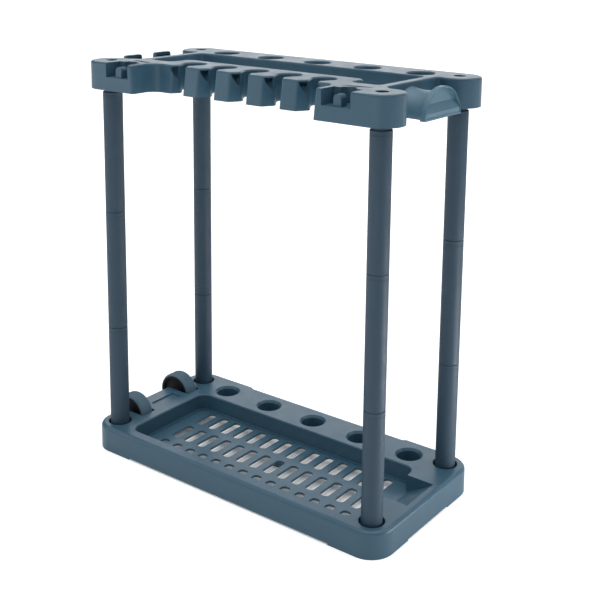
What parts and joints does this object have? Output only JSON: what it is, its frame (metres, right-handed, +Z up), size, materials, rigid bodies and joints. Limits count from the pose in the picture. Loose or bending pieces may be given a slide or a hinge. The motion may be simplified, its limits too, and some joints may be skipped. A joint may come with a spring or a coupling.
{
  "type": "garden tool rack",
  "caption": "Freestanding plastic garden tool rack: slotted basin base on wheels, plug-in tube posts, top tray with comb notches, handle holes, pegs and a hose hanger.",
  "frame": {"origin": "centre of the whole rack's footprint box, on the ground", "axes": "+Z up, +X along the rack from the wheels towards the hose hanger, -Y is the comb side that tools go in from"},
  "size_m": [0.764, 0.35, 0.84],
  "materials": {
    "body_plastic": "satin moulded, blue-grey",
    "tube_plastic": "smooth extruded, darker blue-grey",
    "hanger_plastic": "satin moulded, blue-grey",
    "wheel_plastic": "hard moulded, near black",
    "black_plastic": "moulded, black",
    "axle_steel": "zinc plated"
  },
  "bodies": {
    "rack": {"base_tray": "body_plastic", "front_left_lower_tube": "tube_plastic", "front_left_middle_tube": "tube_plastic", "front_left_upper_tube": "tube_plastic", "rear_left_lower_tube": "tube_plastic", "rear_left_middle_tube": "tube_plastic", "rear_left_upper_tube": "tube_plastic", "front_right_lower_tube": "tube_plastic", "front_right_middle_tube": "tube_plastic", "front_right_upper_tube": "tube_plastic", "rear_right_lower_tube": "tube_plastic", "rear_right_middle_tube": "tube_plastic", "rear_right_upper_tube": "tube_plastic", "top_tray": "body_plastic", "hose_hanger": "hanger_plastic", "axle": "axle_steel", "front_axle_cap": "black_plastic", "rear_axle_cap": "black_plastic"},
    "front_wheel": {"front_wheel": "wheel_plastic"},
    "rear_wheel": {"rear_wheel": "wheel_plastic"}
  },
  "joints": [
    {"name": "front_wheel_spin", "type": "hinge", "parent": "rack", "child": "front_wheel", "pos_m": [-0.339, -0.071, 0.044], "axis": [0, 1, 0], "continuous": true},
    {"name": "rear_wheel_spin", "type": "hinge", "parent": "rack", "child": "rear_wheel", "pos_m": [-0.339, 0.071, 0.044], "axis": [0, 1, 0], "continuous": true}
  ]
}
